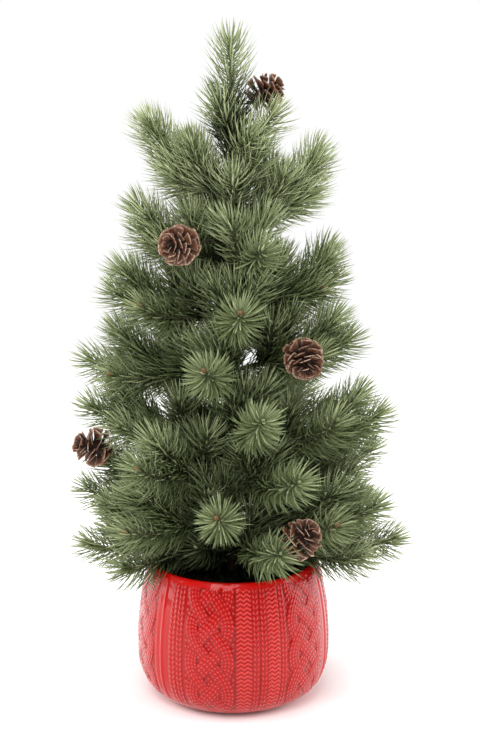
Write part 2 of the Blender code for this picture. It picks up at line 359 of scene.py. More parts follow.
def tape_finish(name):
    """Crinkled crepe-paper tape, with painted shade low in each lap, in the crease along the edge of the
    lap over it.
    """
    finish = Finish(name, Specular_IOR_Level=0.25)
    crinkle = finish.noise(700.0, 4.0, where=finish.stretched(3))
    # painted shade: darker where each lap lies low, in the crease along the next lap's edge
    base = finish.mix(crinkle * 0.6 + finish.mark("lap") * 0.4,
                      (0.018, 0.010, 0.008, 1), (0.075, 0.046, 0.036, 1))
    return finish.surface(base, crinkle * 0.25 + 0.60, crinkle, 0.0004)


def cone_finish(cones):
    """Weathered cone wood: painted shade deep between the scales, red-brown outside, pale worn rims."""
    finish = Finish("cone_wood", Specular_IOR_Level=0.3)
    along, rim, tone = (finish.mark(name) for name in CONE_MARKS)
    grain = finish.noise(500.0, 4.0)
    # painted shade towards each scale's foot, deep between the scales
    wood = finish.mix(along.band(0.35, 0.80), tuple(cones.dark), tuple(cones.brown))
    mottled = finish.mix(grain.band(0.42, 0.62) * 0.75, wood, (0.050, 0.018, 0.009, 1))
    worn = rim ** 1.3 * (tone * 0.8 + 0.30) * grain.band(0.30, 0.62)
    base = finish.mix(worn, mottled, tuple(cones.rim))
    return finish.surface(base, 0.82 - grain * 0.25, grain, 0.0005)


def glaze_finish(pot):
    """Deep red glaze: darker where it pools between stitches, partly painted shade, paler on the raised
    stitches, partly a painted highlight, with a clear glassy coat.
    """
    finish = Finish("red_glaze", Coat_Weight=1.0, Coat_Roughness=0.05, Coat_IOR=1.30,
                    Specular_IOR_Level=0.1)
    relief = finish.mark("relief")
    knit = finish.mark("knit")
    stitches = finish.mark("rows").wave() * finish.mark("lines").wave()
    cloud = finish.noise(26.0, 3.0)
    # darker in the grooves and between stitches: glaze pooling, partly painted shade
    pool_and_shade = relief.band(0.50, 0.05) * 0.6 + knit * stitches.band(0.45, 0.10) * 0.8
    pooled_and_shaded = finish.mix(pool_and_shade + cloud * 0.10, tuple(pot.glaze), tuple(pot.deep_glaze_and_shade))
    # paler on the stitch tops: thin glaze, partly a painted highlight
    thin = knit * stitches.band(0.35, 0.85) * 0.8
    base = finish.mix(thin, pooled_and_shaded, tuple(pot.thin_glaze_and_highlight))
    speck = finish.noise(1900.0, 1.0)
    height = stitches * knit + finish.noise(240.0, 1.0) * 0.1
    return finish.surface(base, speck * 0.10 + pot.roughness - 0.05, height, pot.stitch)


def moss_finish():
    """Dark fibrous moss."""
    finish = Finish("dark_moss", Specular_IOR_Level=0.15)
    tufts = finish.noise(300.0, 5.0, 0.7)
    base = finish.mix(tufts.band(0.35, 0.75), (0.004, 0.005, 0.003, 1), (0.022, 0.026, 0.012, 1))
    return finish.surface(base, tufts * 0.2 + 0.75, tufts, 0.0015)


def cement_finish():
    """Cast cement with pits."""
    finish = Finish("cast_cement", Specular_IOR_Level=0.2)
    grit = finish.noise(420.0, 6.0, 0.65)
    pits = finish.cells(260.0).band(0.18, 0.05)
    base = finish.mix(grit, (0.26, 0.25, 0.23, 1), (0.55, 0.53, 0.49, 1))
    pitted = finish.mix(pits * 0.7, base, (0.12, 0.11, 0.10, 1))
    return finish.surface(pitted, grit * 0.15 + 0.80, grit - pits * 0.6, 0.0006)


def foam_finish():
    """Green florist's foam."""
    finish = Finish("florist_foam", Specular_IOR_Level=0.15)
    cells = finish.cells(900.0)
    base = finish.mix(cells.band(0.1, 0.6), (0.020, 0.055, 0.020, 1), (0.085, 0.170, 0.075, 1))
    return finish.surface(base, 0.95 - cells * 0.1, cells, 0.0006)


def steel_finish():
    """Drawn steel, scratched along."""
    finish = Finish("drawn_steel", Metallic=1.0)
    scratches = finish.noise(260.0, 4.0, where=finish.stretched(0.04))
    base = finish.mix(scratches, (0.34, 0.34, 0.35, 1), (0.58, 0.58, 0.60, 1))
    return finish.surface(base, scratches * 0.25 + 0.25, scratches, 0.0001)


def floor_finish(stage):
    """Plain pale floor."""
    finish = Finish("pale_floor", Specular_IOR_Level=0.1, Roughness=0.9)
    grain = finish.noise(3.0, 2.0) * 0.10
    return finish.feed(Base_Color=finish.mix(grain, tuple(stage.floor), (0.94, 0.94, 0.94, 1)))


# ---------------------------------------------------------------- modelling

def deselect():
    for thing in bpy.context.selected_objects:
        thing.select_set(False)


def drawn(name, sides, rings, pointed=False, hollow=False):
    """A closed form: a disc extruded up through rings of (radius, height, sideways shift).

    A pointed form ends in one point.  A hollow one has its first and last rings bridged
    instead of capped.
    """
    deselect()
    radius, height, shift = rings[0]
    bpy.ops.mesh.primitive_circle_add(vertices=sides, radius=radius, fill_type="NGON",
                                      location=(shift, 0, height))
    piece = bpy.context.object
    piece.name = name
    piece.data.name = name
    bpy.ops.object.transform_apply(location=True, rotation=False, scale=False)
    bpy.ops.object.mode_set(mode="EDIT")
    bpy.ops.mesh.select_all(action="SELECT")
    for wide, high, aside in rings[1:]:
        bpy.ops.mesh.extrude_region_move(
            TRANSFORM_OT_translate={"value": (aside - shift, 0, high - height)})
        grow = wide / radius
        bpy.ops.transform.resize(value=(grow, grow, 1), center_override=(aside, 0, high))
        radius, height, shift = wide, high, aside
    if pointed:
        bpy.ops.mesh.merge(type="COLLAPSE")
    if hollow:
        bridge_ends(piece, sides)
    bpy.ops.mesh.select_all(action="SELECT")
    bpy.ops.mesh.normals_make_consistent(inside=False)
    bpy.ops.object.mode_set(mode="OBJECT")
    return piece


def bridge_ends(piece, sides):
    """In edit mode: take off the first and last discs and bridge the two open rings."""
    bpy.ops.mesh.select_all(action="DESELECT")
    bpy.ops.mesh.select_mode(type="FACE")
    bpy.ops.object.mode_set(mode="OBJECT")
    for face in piece.data.polygons:
        face.select = len(face.vertices) == sides
    bpy.ops.object.mode_set(mode="EDIT")
    bpy.ops.mesh.delete(type="ONLY_FACE")
    bpy.ops.mesh.select_mode(type="EDGE")
    bpy.ops.mesh.select_non_manifold()
    bpy.ops.mesh.bridge_edge_loops()


def points_of(mesh):
    """A mesh's points as an array of rows."""
    flat = np.zeros(len(mesh.vertices) * 3, np.float32)
    mesh.vertices.foreach_get("co", flat)
    return flat.reshape(-1, 3).astype(float)


def set_points(mesh, points):
    mesh.vertices.foreach_set("co", points.astype(np.float32).ravel())
    mesh.update()


def set_mark(mesh, name, values):
    """Store a value for each point, for the materials to read."""
    mark = mesh.attributes.get(name) or mesh.attributes.new(name, "FLOAT", "POINT")
    mark.data.foreach_set("value", np.asarray(values, np.float32))


def unit(rows):
    return rows / np.linalg.norm(rows, axis=-1, keepdims=True)


class Pattern:
    """A small finished shape that is copied many times, with marks at its points."""

    def __init__(self, piece, **marks):
        mesh = piece.data
        self.points = points_of(mesh)
        self.corners = np.array([loop.vertex_index for loop in mesh.loops])
        self.starts = np.array([face.loop_start for face in mesh.polygons])
        self.marks = marks
        bpy.data.objects.remove(piece)


class Cluster:
    """Copies of patterns gathered into one mesh, each pattern with its own material."""

    def __init__(self, name, mark_names):
        self.name = name
        self.points, self.corners, self.starts, self.slots = [], [], [], []
        self.marks = {mark: [] for mark in mark_names}
        self.point_count = 0
        self.corner_count = 0

    def add(self, pattern, placed, slot=0, **tones):
        """Add copies whose points are rows of placed: copies x points x 3."""
        copies, size = placed.shape[:2]
        loops = len(pattern.corners)
        order = np.arange(copies)[:, None]
        self.points.append(placed.reshape(-1, 3))
        self.corners.append((pattern.corners + self.point_count + order * size).ravel())
        self.starts.append((pattern.starts + self.corner_count + order * loops).ravel())
        self.slots.append(np.full(copies * len(pattern.starts), slot))
        for mark, values in self.marks.items():
            if mark in pattern.marks:
                values.append(np.tile(pattern.marks[mark], copies))
            else:
                values.append(np.repeat(np.broadcast_to(tones.get(mark, 0.0), copies), size))
        self.point_count += copies * size
        self.corner_count += copies * loops

    def piece(self, *materials):
        """Make the gathered mesh an object of its own."""
        mesh = bpy.data.meshes.new(self.name)
        starts = np.concatenate(self.starts)
        corners = np.concatenate(self.corners)
        mesh.vertices.add(self.point_count)
        mesh.loops.add(len(corners))
        mesh.polygons.add(len(starts))
        mesh.vertices.foreach_set("co", np.concatenate(self.points).astype(np.float32).ravel())
        mesh.loops.foreach_set("vertex_index", corners.astype(np.int32))
        mesh.polygons.foreach_set("loop_start", starts.astype(np.int32))
        for material in materials:
            mesh.materials.append(material)
        mesh.polygons.foreach_set("material_index", np.concatenate(self.slots).astype(np.int32))
        for mark, values in self.marks.items():
            set_mark(mesh, mark, np.concatenate(values))
        mesh.update(calc_edges=True)
        mesh.validate()
        mesh.shade_smooth()
        made = bpy.data.objects.new(self.name, mesh)
        bpy.context.scene.collection.objects.link(made)
        return made


def stand_for(piece, body, slot, *nodes):
    """Let a finished piece ride on a body and stand for the body's CAD nodes."""
    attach(piece, body)
    if nodes:
        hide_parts(*nodes)


def direction(heading, rise):
    """Unit vector at a heading from +X and a rise from level, both in degrees."""
    heading, rise = radians(heading), radians(rise)
    return Vector((cos(rise) * cos(heading), cos(rise) * sin(heading), sin(rise)))


def spread(points, foot, across, over, ahead, wide, thick, reach):
    """Copies of a shape: each at its own foot, on three axes of its own and at its own sizes."""
    placed = foot[:, None, :]
    for k, (axis, size) in enumerate(((across, wide), (over, thick), (ahead, reach))):
        placed = placed + axis[:, None, :] * (points[None, :, k, None] * size[:, None, None])
    return placed


# ---------------------------------------------------------------- sprays

# The last mark is how far a needle goes to the painted shade colour
NEEDLE_MARKS = ("along", "tone", "fresh", "age")
# Radius, height and bend of a needle of unit length and width
NEEDLE_RINGS = ((0.42, 0.0, 0.0), (0.50, 0.34, 0.070), (0.42, 0.70, 0.255), (0.02, 1.0, 0.480))


class Line:
    """A smooth curve from start to end, with a tangent and two normals at every share."""

    STEPS = 40
    ASKEW = (0.30, 0.17, 0.94)  # no line runs this way

    def __init__(self, start, end, leave, arrive):
        start, end, leave, arrive = (np.array(v, float) for v in (start, end, leave, arrive))
        reach = np.linalg.norm(end - start)
        t = np.linspace(0, 1, self.STEPS)[:, None]
        self.points = ((2 * t ** 3 - 3 * t ** 2 + 1) * start + (t ** 3 - 2 * t ** 2 + t) * leave * reach
                       + (3 * t ** 2 - 2 * t ** 3) * end + (t ** 3 - t ** 2) * arrive * reach)
        steps = np.linalg.norm(np.diff(self.points, axis=0), axis=1)
        self.length = steps.sum()
        self.shares = np.concatenate([[0], np.cumsum(steps)]) / self.length
        self.tangents = unit(np.gradient(self.points, axis=0))

    def at(self, share):
        """Place, tangent and two normals at shares of the length."""
        place = np.stack([np.interp(share, self.shares, self.points[:, k]) for k in range(3)], -1)
        tangent = unit(np.stack([np.interp(share, self.shares, self.tangents[:, k])
                                 for k in range(3)], -1))
        side = unit(np.cross(tangent, self.ASKEW))
        return place, tangent, side, np.cross(tangent, side)


def needle_pattern():
    """One needle of unit length along +Z that bends towards +X, four-sided."""
    piece = drawn("needle", 4, NEEDLE_RINGS, pointed=True)
    return Pattern(piece, along=points_of(piece.data)[:, 2])


def stem_pattern():
    """A unit tube along +Z with a light knuckle at each ring."""
    return Pattern(drawn("stem", 8, [(1.0 + 0.10 * (i % 2), i / 12, 0.0) for i in range(13)]))


def bud_pattern():
    """A small blunt bud of unit length."""
    return Pattern(drawn("bud", 6, [(0.16, 0.0, 0.0), (0.30, 0.18, 0.0), (0.34, 0.42, 0.0),
                                    (0.24, 0.74, 0.0), (0.08, 0.96, 0.0)]))


def tube(cluster, stem, line, thick, thin, end=1.0):
    """Stretch the stem pattern along a line, with the cluster's second material."""
    points = stem.points
    place, _, side, over = line.at(points[:, 2] * end)
    radius = thick + (thin - thick) * points[:, 2]
    placed = place + (points[:, :1] * side + points[:, 1:2] * over) * radius[:, None]
    cluster.add(stem, placed[None], slot=1)


class SprayMaker:
    """Needle, stem and bud patterns, and the sprays made of them."""

    def __init__(self, needles):
        self.needles = needles
        self.needle, self.stem, self.bud = needle_pattern(), stem_pattern(), bud_pattern()
        self.materials = (needle_finish(needles), stem_finish(needles), bud_finish(needles))

    # the argument before closing is how much painted shade all its needles get
    def clothe(self, cluster, line, rng, start, end, full, lean, age=0.0, closing=True):
        """Set needles round a line in a golden-angle spiral, leaning forward to its end."""
        needles = self.needles
        count = int(line.length * (end - start) / needles.spacing)
        step = (np.arange(count) + 0.5) / count
        share = start + (end - start) * step
        place, tangent, side, over = line.at(share)
        spin = np.arange(count) * GOLDEN_ANGLE + rng.normal(0, 0.07, count)
        out = side * np.cos(spin)[:, None] + over * np.sin(spin)[:, None]
        last = (step - 1) * line.length * (end - start) / CROWN + 1
        closed = np.clip(last, 0, 1) ** 1.5 if closing else np.zeros(count)
        tilt = lean * (1 - closed * CROWN_SHUT) + rng.normal(0, radians(5), count)
        size = full * (1 - closed * CROWN_SHORT) * rng.uniform(0.86, 1.05, count)
        size *= np.clip(0.84 + step * 1.3, 0, 1)
        up = tangent * np.cos(tilt)[:, None] + out * np.sin(tilt)[:, None]
        bend = unit(tangent * np.sin(tilt)[:, None] - out * np.cos(tilt)[:, None])
        across = np.cross(up, bend)
        points = self.needle.points
        curl = rng.uniform(0.7, 1.2, count) * (1 - 0.4 * closed) * size
        wide = needles.width * rng.uniform(0.85, 1.12, count)
        rise = points[:, 2]
        _, heights, bends = zip(*NEEDLE_RINGS)
        sag = np.interp(rise, heights, bends)
        body = points[:, 0] - sag
        placed = ((place + out * needles.stem * 0.6)[:, None, :]
                  + up[:, None, :] * (rise[None, :] * size[:, None])[:, :, None]
                  + bend[:, None, :] * (sag[None, :] * curl[:, None]
                                        + body[None, :] * wide[:, None] * NEEDLE_THIN)[:, :, None]
                  + across[:, None, :] * (points[None, :, 1] * wide[:, None])[:, :, None])
        fresh = step ** 2 if closing else np.zeros(count)
        fresh = np.maximum(fresh, PALEST * ramp(place[:, 2], PALE_FROM, PALE_TOP))
        # painted shade: needles near the trunk, more so low on the tree, go to the shade colour
        core = DARK_CORE * np.clip(1 - place[:, 2] / CORE_TOP, 0.01, 1)
        inside = CORE_SHADE * (1 - ramp(np.hypot(place[:, 0], place[:, 1]) / core, 0.2, 1.0))
        cluster.add(self.needle, placed, slot=0, tone=rng.uniform(0, 1, count), fresh=fresh,
                    age=np.maximum(age, inside))

    def tip(self, cluster, line, rng, bud):
        """One fox-tail tip: stem, needles and a green end, or a brown bud."""
        needles = self.needles
        bare_end = 1.0 - TIP_SHORT / line.length
        tube(cluster, self.stem, line, needles.stem, needles.stem * 0.45, bare_end)
        self.clothe(cluster, line, rng, 0.03, bare_end, needles.length, needles.lean)
        place, tangent, side, over = (v[0] for v in line.at(np.array([bare_end - 0.01])))
        points = self.bud.points * (0.0075 if bud else 0.0055)
        placed = place + points[:, :1] * side + points[:, 1:2] * over + points[:, 2:] * tangent
        cluster.add(self.bud, placed[None], slot=2, tone=float(bud))

    def fan(self, name, seed, root, fork, ends, stem_from, bare):
        """A spray: a stem from root to fork, a tip to each end, and shoots that fill it in."""
        needles = self.needles
        rng = np.random.default_rng(seed)
        cluster = Cluster(name, NEEDLE_MARKS)
        along = (fork - root).normalized()
        stem = Line(root, fork, along, along)
        short = Line(stem.at(np.array([stem_from]))[0][0], fork, along, along)
        tube(cluster, self.stem, short, needles.stem * 1.25, needles.stem * 1.1)
        # the needles on the spray's own stem sit inside it and get some painted shade
        self.clothe(cluster, stem, rng, bare, 1.0, needles.length * 0.86, needles.lean * 0.95,
                    age=0.35, closing=False)
        beside = along.cross(UP).normalized()
        lone = len(ends) == 1
        for order, (end, place) in enumerate(zip(ends, TIP_ROOTS)):
            start = Vector(stem.at(np.array([place]))[0][0])
            ahead = (end - start).normalized()
            dip = UP * (needles.bow / (end - start).length * 4)
            leave = (ahead * 0.60 + along * 0.40 - dip).normalized()
            swing = UP * 0.50
            if lone:
                swing = beside * rng.uniform(-0.7, 0.7) + UP * rng.uniform(-0.5, 0.8)
            arrive = (ahead + dip * 1.2 + swing).normalized()
            self.tip(cluster, Line(start, end, leave, arrive), rng, bud=(seed + order) % 3 == 0)
        for hand in (-1, 0, 1):
            ahead = (along * 0.45 + beside * hand * rng.uniform(0.35, 0.75)
                     + UP * rng.uniform(0.8, 1.2))
            self.shoot(cluster, stem, rng, rng.uniform(*INNER_SHOOTS), ahead, SHOOT_LENGTH)
        if len(ends) > 1:
            for hand in (-1, 1):
                ahead = along + beside * hand * rng.uniform(0.05, 0.35) + UP * rng.uniform(0.5, 0.8)
                self.shoot(cluster, stem, rng, RISER, ahead, SHOOT_LENGTH * 1.2)
        return cluster.piece(*self.materials)

    def shoot(self, cluster, stem, rng, place, ahead, reach):
        """A short shoot from a spray's stem, which fills in between the branches."""
        start, along, _, _ = (Vector(v[0]) for v in stem.at(np.array([place])))
        ahead = ahead.normalized()
        end = start + ahead * reach * rng.uniform(0.9, 1.15)
        self.tip(cluster, Line(start, end, (ahead + along).normalized(), ahead), rng, bud=False)

    def leader(self):
        """The top of the tree: five tips on one upright stem."""
        needles = self.needles
        rng = np.random.default_rng(900)
        cluster = Cluster("leader_needles", NEEDLE_MARKS)
        foot = Vector((0, 0, LEADER_ROOT))
        stem = Line(foot, (0, 0, LEADER_STEM_TOP), UP, UP)
        tube(cluster, self.stem, stem, needles.stem * 1.4, needles.stem)
        # the needles on the leader's stem sit inside it and get some painted shade
        self.clothe(cluster, stem, rng, 0.05, 1.0, needles.length * 0.9, needles.lean * 0.9,
                    age=0.3, closing=False)
        for order, (height, end) in enumerate(LEADER_TIPS):
            root = Vector((0, 0, height))
            ahead = (Vector(end) - root).normalized()
            leave = (ahead + UP * 0.1 - ahead.z * UP * 0.25).normalized()
            line = Line(root, end, leave, (ahead + UP * 0.18).normalized())
            self.tip(cluster, line, rng, bud=order == 1)
        return cluster.piece(*self.materials)

    def trunk_shoots(self):
        """Short upright shoots bound to the trunk between the branches."""
        rng = np.random.default_rng(321)
        cluster = Cluster("trunk_shoots", NEEDLE_MARKS)
        for order, height in enumerate(TRUNK_SHOOTS):
            heading = order * GOLDEN_DEGREES + 40
            start = Vector((0, 0, height)) + direction(heading, 0) * (WRAP_RADIUS * 0.8)
            rise = np.interp(height, *TRUNK_SHOOT_RISES)
            end = start + direction(heading, rise) * SHOOT_LENGTH * rng.uniform(1.0, 1.25)
            ahead = (end - start).normalized()
            line = Line(start, end, ahead, (ahead + UP * 0.3).normalized())
            self.tip(cluster, line, rng, bud=False)
        return cluster.piece(*self.materials)


def spray_lines(body, root):
    """Fork and tip ends of a CAD spray: its points farthest from the root, one on each tip."""
    kind, number = body.split("_")
    points = points_of(frame["nodes"][f"{kind}_spray_{number}"].data)
    far = np.linalg.norm(points - np.array(root), axis=1)
    ends = []
    while len(ends) < FEWER_TIPS.get(body, 3):
        end = points[np.argmax(far)]
        ends.append(Vector(end))
        far = np.where(np.linalg.norm(points - end, axis=1) < TIP_CLEAR, 0, far)
    if kind == "limb":
        return wire_end(number, root), ends
    if len(ends) == 1:
        return root.lerp(ends[0], LONE_FORK), ends
    gap = ends[0] - (ends[1] + ends[2]) / 2
    apart = THIN_SPREAD if int(number) >= THIN_TWIGS_FROM else SPREAD
    tip = gap.length / (1 - SIDE_LENGTH * cos(radians(apart)))
    return ends[0] - gap.normalized() * tip, ends


def wire_end(number, root):
    """Where a limb forks: just past the far end of its CAD wire."""
    points = points_of(frame["nodes"][f"limb_wire_{number}"].data)
    far = np.linalg.norm(points - np.array(root), axis=1)
    reach = Vector(points[far > far.max() - WIRE_RADIUS].mean(axis=0)) - root
    return root + reach.normalized() * (reach.length + WIRE_SHORT)


def joint_roots():
    """Where each body is joined to its parent."""
    return {joint["child"]: Vector(joint["pos_m"]) for joint in frame["joints"]}


class TREE_OT_add_sprays(bpy.types.Operator):
    """Clothe every limb and twig with moulded needles."""

    bl_idname = "tree.add_sprays"
    bl_label = "Needle sprays"

    def execute(self, context):
        maker = SprayMaker(context.scene.tree_needles)
        roots = joint_roots()
        for seed, body in enumerate(sorted(b for b in roots if b[:5] in ("limb_", "twig_"))):
            kind, number = body.split("_")
            fork, ends = spray_lines(body, roots[body])
            limb = kind == "limb"
            piece = maker.fan(f"{kind}_needles_{number}", 100 + seed, roots[body], fork, ends,
                              stem_from=0.80 if limb else 0.0, bare=0.30 if limb else 0.12)
            stand_for(piece, body, "green_needles", f"{kind}_spray_{number}")
        stand_for(maker.leader(), "leader", "green_needles", "leader_spray")
        stand_for(maker.trunk_shoots(), "stand", "green_needles")
        return {"FINISHED"}


# ---------------------------------------------------------------- cones

# Half-width, length along the scale and half-thickness of a cone scale of unit length
SCALE_RINGS = ((0.10, 0.0, 0.06), (0.15, 0.18, 0.040), (0.24, 0.42, 0.028), (0.38, 0.66, 0.026),
               (0.49, 0.84, 0.032), (0.46, 0.95, 0.030), (0.26, 1.0, 0.014))
SCALE_CUP = 0.14            # how far a scale's end curls towards the cone's point
CONE_MARKS = ("along", "rim", "tone")


def scale_pattern():
    """One woody cone scale along +Z: narrow foot, round outer end, thick worn lip."""
    piece = drawn("scale", 10, [(wide, high, 0.0) for wide, high, _ in SCALE_RINGS])
    points = points_of(piece.data)
    widths, heights, thicks = (np.array(row) for row in zip(*SCALE_RINGS))
    wide = np.interp(points[:, 2], heights, widths)
    thick = np.interp(points[:, 2], heights, thicks)
    edge = np.clip(np.abs(points[:, 0]) / wide, 0, 1)
    points[:, 1] *= thick / wide
    points[:, 1] += SCALE_CUP * points[:, 2] ** 2
    set_points(piece.data, points)
    ends = np.clip((points[:, 2] - 0.86) / 0.12, 0, 1)
    rim = np.maximum(edge ** 4 * (points[:, 2] > 0.5), ends)
    return Pattern(piece, along=points[:, 2].copy(), rim=rim)


def core_pattern():
    """The cone's inner spindle, of unit length."""
    piece = drawn("core", 12, [(0.08, 0.0, 0.0), (0.16, 0.06, 0.0), (0.19, 0.30, 0.0),
                               (0.15, 0.65, 0.0), (0.07, 0.92, 0.0), (0.02, 1.0, 0.0)])
    # along is 0 all over the spindle, so it takes the painted shade colour between the scales
    dull = np.zeros(len(piece.data.vertices))
    return Pattern(piece, along=dull, rim=dull)


def add_scales(cluster, pattern, cones, rng, base, turned):
    """Set scales round a cone in a golden-angle spiral, open at the base and shut at the point."""
    count = cones.scales
    rise = (np.arange(count) + 0.5) / count
    spin = np.arange(count) * GOLDEN_ANGLE + rng.uniform(0, tau)
    opening = np.radians(np.interp(rise, (0, 0.15, 0.45, 0.75, 1), (125, 104, 84, 66, 38)))
    opening += rng.normal(0, radians(7), count)
    size = cones.scale_length * np.interp(rise, (0, 0.18, 0.5, 0.8, 1), (0.62, 0.95, 0.97, 0.78, 0.50))
    size *= rng.uniform(0.92, 1.06, count)
    wide = cones.scale_width / cones.scale_length * rng.uniform(0.9, 1.1, count) * size
    level = CONE_LENGTH * (0.10 + 0.72 * rise ** 0.85)
    inner = CONE_LENGTH * np.interp(rise, (0, 0.3, 1), (0.08, 0.12, 0.03))
    out = np.stack([np.cos(spin), np.sin(spin), np.zeros(count)], -1)
    point = np.array((0.0, 0.0, 1.0))
    ahead = out * np.sin(opening)[:, None] + point * np.cos(opening)[:, None]
    cup = point * np.sin(opening)[:, None] - out * np.cos(opening)[:, None]
    flat = np.cross(cup, ahead)
    twist = rng.normal(0, radians(14), count)[:, None]
    across = flat * np.cos(twist) + cup * np.sin(twist)
    cup = cup * np.cos(twist) - flat * np.sin(twist)
    foot = out * inner[:, None] + point * level[:, None]
    placed = spread(pattern.points, foot, across, cup, ahead, wide, size, size)
    cluster.add(pattern, placed @ turned.T + base, tone=rng.uniform(0, 1, count))


class TREE_OT_add_cones(bpy.types.Operator):
    """Build each pine cone scale by scale on its wire pick."""

    bl_idname = "tree.add_cones"
    bl_label = "Pine cones"

    def execute(self, context):
        cones = context.scene.tree_cones
        scale, core, stem = scale_pattern(), core_pattern(), stem_pattern()
        wood, wire = cone_finish(cones), tape_finish("pick_tape")
        roots = joint_roots()
        for number, (centre, heading, rise) in enumerate(CONES, 1):
            body = f"cone_{number}"
            rng = np.random.default_rng(500 + number)
            axis = direction(heading, rise)
            base = Vector(centre) - axis * CONE_LENGTH / 2
            turned = np.array(axis.to_track_quat("Z", "Y").to_matrix())
            cluster = Cluster(f"pine_{body}", CONE_MARKS)
            add_scales(cluster, scale, cones, rng, np.array(base), turned)
            spindle = (core.points * CONE_LENGTH) @ turned.T + np.array(base)
            cluster.add(core, spindle[None])
            pick = Line(roots[body], base + axis * PICK_DEPTH, base - roots[body], axis)
            tube(cluster, stem, pick, PICK_RADIUS, PICK_RADIUS)
            stand_for(cluster.piece(wood, wire), body, "cone_wood", body)
        return {"FINISHED"}


# ---------------------------------------------------------------- trunk and wires

def lapped(name, sides, rows, turns, overlap, radius, low, high, bore=None):
    """A tube of tape wound in a spiral: its skin steps out where each lap covers the last."""
    rings = [(radius, low + (high - low) * i / rows, 0.0) for i in range(rows + 1)]
    if bore is not None:
        rings += [(bore, high, 0.0), (bore, low, 0.0)]
    piece = drawn(name, sides, rings, hollow=bore is not None)
    points = points_of(piece.data)
    distance = np.hypot(points[:, 0], points[:, 1])
    heading = np.arctan2(points[:, 1], points[:, 0]) / tau
    lap = ((points[:, 2] - low) / (high - low) * turns - heading) % 1.0
    lap = np.where(distance > radius * 0.9, np.minimum(lap, (1 - lap) * 7), 0)
    points[:, :2] *= (1 + overlap / radius * lap)[:, None]
    set_points(piece.data, points)
    set_mark(piece.data, "lap", lap)
    deselect()
    piece.select_set(True)
    bpy.ops.object.shade_smooth_by_angle(angle=radians(50))
    return piece


class TREE_OT_add_trunk(bpy.types.Operator):
    """Wind crepe tape round the trunk and the limbs' wires."""

    bl_idname = "tree.add_trunk"
    bl_label = "Taped trunk and wires"

    def execute(self, context):
        tape = tape_finish("crepe_tape")
        low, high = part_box("trunk_wrap")
        trunk = lapped("taped_trunk", sides=22, rows=330, turns=41, overlap=0.0007,
                       radius=WRAP_RADIUS - 0.0004, low=low.z, high=high.z, bore=WRAP_BORE)
        trunk.data.materials.append(tape)
        stand_for(trunk, "stand", "brown_tape", "trunk_wrap")
        wound = lapped("wound_wire", sides=12, rows=72, turns=12, overlap=0.20,
                       radius=0.95, low=0.0, high=1.0)
        marks = np.zeros(len(wound.data.vertices), np.float32)
        wound.data.attributes["lap"].data.foreach_get("value", marks)
        pattern = Pattern(wound, lap=marks)
        roots = joint_roots()
        for body in sorted(b for b in roots if b.startswith("limb_")):
            self.wind_wire(body, roots[body], pattern, tape)
        for node, finish in (("trunk_rod", steel_finish()), ("ballast", cement_finish()),
                             ("foam_block", foam_finish())):
            frame["nodes"][node].material_slots[0].material = finish
        return {"FINISHED"}

    def wind_wire(self, body, root, pattern, tape):
        """Stretch the wound wire from a limb's root to its spray."""
        number = body[-2:]
        axis = wire_end(number, root) - root
        reach = axis.length - WIRE_SHORT
        turned = np.array(axis.to_track_quat("Z", "Y").to_matrix())
        stretched = pattern.points * (WIRE_RADIUS, WIRE_RADIUS, reach)
        cluster = Cluster(f"limb_tape_{number}", ("lap",))
        cluster.add(pattern, (stretched @ turned.T + np.array(root))[None])
        stand_for(cluster.piece(tape), body, "taped_wire", f"limb_wire_{number}")


# ---------------------------------------------------------------- moss

FIBRES = 2600               # loose fibres on the mat
FIBRE_WIDTH = 0.0007
FIBRE_BEND = 0.6            # their bend against their length


